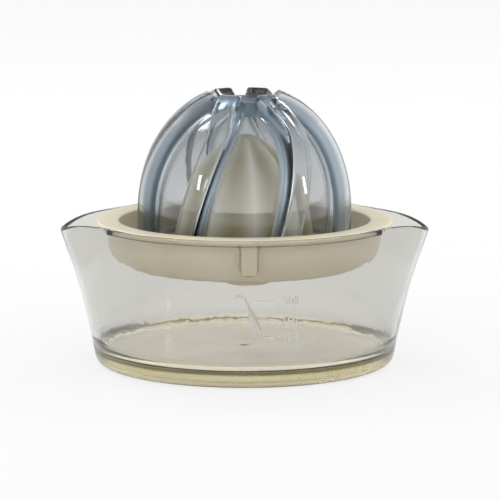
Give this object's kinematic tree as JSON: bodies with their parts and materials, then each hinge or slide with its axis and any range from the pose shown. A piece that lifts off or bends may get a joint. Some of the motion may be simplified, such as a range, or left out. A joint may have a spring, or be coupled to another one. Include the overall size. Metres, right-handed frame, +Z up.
{
  "type": "hand citrus juicer",
  "caption": "Hand citrus juicer: clear two-spout jug, ivory strainer dish with a fluted cone, and a clear domed large reamer with swirling fins that lifts off.",
  "frame": {"origin": "centre of the jug's underside", "axes": "+X through a pouring spout, -Y through the volume scale at the front, +Z up"},
  "size_m": [0.1288, 0.1056, 0.0954],
  "materials": {
    "jug_clear": "polished clear, faint yellow in the thick base",
    "strainer_ivory": "satin ivory",
    "reamer_clear": "polished clear, pale blue"
  },
  "bodies": {
    "jug": {"jug": "jug_clear"},
    "strainer": {"strainer": "strainer_ivory"},
    "large_reamer": {"large_reamer": "reamer_clear"}
  },
  "joints": [
    {"name": "strainer_lift", "type": "slide", "parent": "jug", "child": "strainer", "axis": [0, 0, 1], "range_m": [0, 0.03]},
    {"name": "reamer_lift", "type": "slide", "parent": "strainer", "child": "large_reamer", "axis": [0, 0, 1], "range_m": [0, 0.055]}
  ]
}
